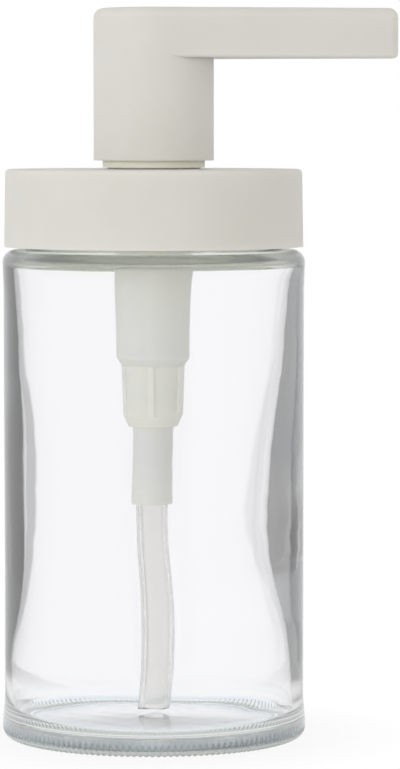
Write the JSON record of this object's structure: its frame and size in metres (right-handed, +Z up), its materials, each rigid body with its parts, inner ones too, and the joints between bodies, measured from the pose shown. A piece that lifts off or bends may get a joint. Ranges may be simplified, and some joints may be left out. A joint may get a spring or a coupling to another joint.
{
  "type": "soap pump dispenser",
  "caption": "Clear glass jar with a wide ivory screw lid and a lock-down pump whose round head runs out into a long tapering spout, for liquid soap.",
  "frame": {"origin": "middle of the jar's base, on the pump's axis, at the height of the surface that it stands on", "axes": "+Z up along the jar and pump, +X along the spout, +Y to the left seen from behind the spout"},
  "size_m": [0.0925, 0.0712, 0.1707],
  "materials": {
    "clear_glass": "clear, slightly uneven pressed glass with a faint green tint",
    "ivory_plastic": "satin moulded ivory plastic",
    "natural_plastic": "milky unpigmented plastic",
    "clear_tube": "translucent extruded plastic",
    "white_foam": "soft closed-cell foam",
    "steel": "bright drawn stainless steel"
  },
  "bodies": {
    "jar": {"glass_jar": "clear_glass"},
    "seal": {"lid_gasket": "white_foam"},
    "pump_body": {"pump_housing": "ivory_plastic", "flange_gasket": "white_foam", "retaining_nut": "ivory_plastic", "locking_ring": "ivory_plastic", "ball_retainer": "natural_plastic", "dip_tube": "clear_tube", "return_spring": "steel"},
    "lid": {"lid_insert": "ivory_plastic", "lid_cover": "ivory_plastic"},
    "inlet_valve": {"inlet_ball": "steel"},
    "piston": {"piston": "natural_plastic"},
    "head": {"pump_head": "ivory_plastic", "spout_cover": "ivory_plastic", "head_core": "ivory_plastic", "flow_tube": "natural_plastic", "spout_nozzle": "ivory_plastic", "stem": "ivory_plastic", "piston_carrier": "natural_plastic"},
    "outlet_valve": {"outlet_ball": "steel"}
  },
  "joints": [
    {"name": "lid_lift", "type": "slide", "parent": "jar", "child": "seal", "axis": [0, 0, 1], "range_m": [0, 0.125]},
    {"name": "lid_rise", "type": "slide", "parent": "seal", "child": "pump_body", "axis": [0, 0, 1], "range_m": [0, 0.0053]},
    {"name": "lid_unscrew", "type": "hinge", "parent": "pump_body", "child": "lid", "pos_m": [0, 0, 0.1333], "axis": [0, 0, 1], "range_deg": [0, 450]},
    {"name": "inlet_ball_lift", "type": "slide", "parent": "pump_body", "child": "inlet_valve", "axis": [0, 0, 1], "range_m": [0, 0.0015]},
    {"name": "pump_stroke", "type": "slide", "parent": "pump_body", "child": "piston", "axis": [0, 0, 1], "range_m": [0, 0.016], "deforming": ["return_spring"]},
    {"name": "head_swivel", "type": "hinge", "parent": "piston", "child": "head", "pos_m": [0, 0, 0.1353], "axis": [0, 0, 1], "continuous": true},
    {"name": "outlet_ball_lift", "type": "slide", "parent": "head", "child": "outlet_valve", "axis": [0, 0, 1], "range_m": [0, 0.0014]}
  ],
  "couplings": [
    {"joint": "lid_rise", "follows": "lid_unscrew", "m_per_rad": 0.00066845}
  ]
}
